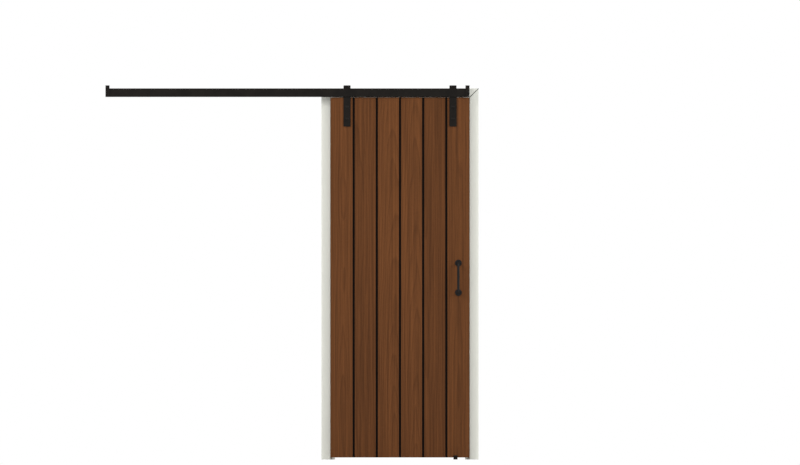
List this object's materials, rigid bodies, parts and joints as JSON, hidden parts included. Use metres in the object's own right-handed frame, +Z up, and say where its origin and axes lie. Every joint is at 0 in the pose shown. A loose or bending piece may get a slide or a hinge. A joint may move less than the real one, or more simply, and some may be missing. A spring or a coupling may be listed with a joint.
{
  "type": "sliding barn door with frame",
  "caption": "Plank door that slides along a wall on grooved wheels in a steel trough rail, with hanger straps, end stops, floor guide, bar pull and the cased frame of its doorway.",
  "frame": {"origin": "on the floor, midway between the jambs, at the front face of the wall that the frame lines", "axes": "+X to the right as seen from the door's side, +Y into the wall, +Z up"},
  "size_m": [2.212, 0.257, 2.218],
  "materials": {
    "casing_paint": "satin paint",
    "black_steel": "matt powder coat",
    "zinc_steel": "zinc plated",
    "plank_wood": "stained and oiled",
    "ledge_wood": "stained and oiled",
    "pull_iron": "matt black",
    "nylon": "moulded",
    "rubber": "matt"
  },
  "bodies": {
    "frame": {"left_jamb": "casing_paint", "right_jamb": "casing_paint", "head_jamb": "casing_paint", "front_left_casing": "casing_paint", "front_right_casing": "casing_paint", "front_head_casing": "casing_paint", "back_left_casing": "casing_paint", "back_right_casing": "casing_paint", "back_head_casing": "casing_paint", "rail": "black_steel", "wall_spacers": "black_steel", "casing_spacers": "black_steel", "lag_screws": "zinc_steel", "left_end_stop": "black_steel", "right_end_stop": "black_steel", "left_bumper": "rubber", "right_bumper": "rubber", "stop_screws": "black_steel", "floor_guide": "black_steel", "guide_pads": "nylon"},
    "door": {"plank_1": "plank_wood", "plank_2": "plank_wood", "plank_3": "plank_wood", "plank_4": "plank_wood", "plank_5": "plank_wood", "plank_6": "plank_wood", "top_ledge": "ledge_wood", "middle_ledge": "ledge_wood", "bottom_ledge": "ledge_wood", "ledge_screws": "zinc_steel", "left_strap": "black_steel", "right_strap": "black_steel", "strap_bolts": "black_steel", "strap_washers": "zinc_steel", "strap_nuts": "zinc_steel", "left_axle": "zinc_steel", "right_axle": "zinc_steel", "axle_bushes": "zinc_steel", "axle_nuts": "zinc_steel", "pull_handle": "pull_iron", "upper_rosette": "pull_iron", "lower_rosette": "pull_iron", "pull_screws": "zinc_steel"},
    "left_roller": {"left_wheel": "nylon", "left_bearing": "zinc_steel"},
    "right_roller": {"right_wheel": "nylon", "right_bearing": "zinc_steel"}
  },
  "joints": [
    {"name": "door_slide", "type": "slide", "parent": "frame", "child": "door", "axis": [-1, 0, 0], "range_m": [-0.0465, 1.3805]},
    {"name": "left_wheel_spin", "type": "hinge", "parent": "door", "child": "left_roller", "pos_m": [-0.314, -0.059, 2.1733], "axis": [0, 1, 0], "continuous": true},
    {"name": "right_wheel_spin", "type": "hinge", "parent": "door", "child": "right_roller", "pos_m": [0.314, -0.059, 2.1733], "axis": [0, 1, 0], "continuous": true}
  ],
  "couplings": [
    {"joint": "left_wheel_spin", "follows": "door_slide", "rad_per_m": -58.824},
    {"joint": "right_wheel_spin", "follows": "door_slide", "rad_per_m": -58.824}
  ]
}
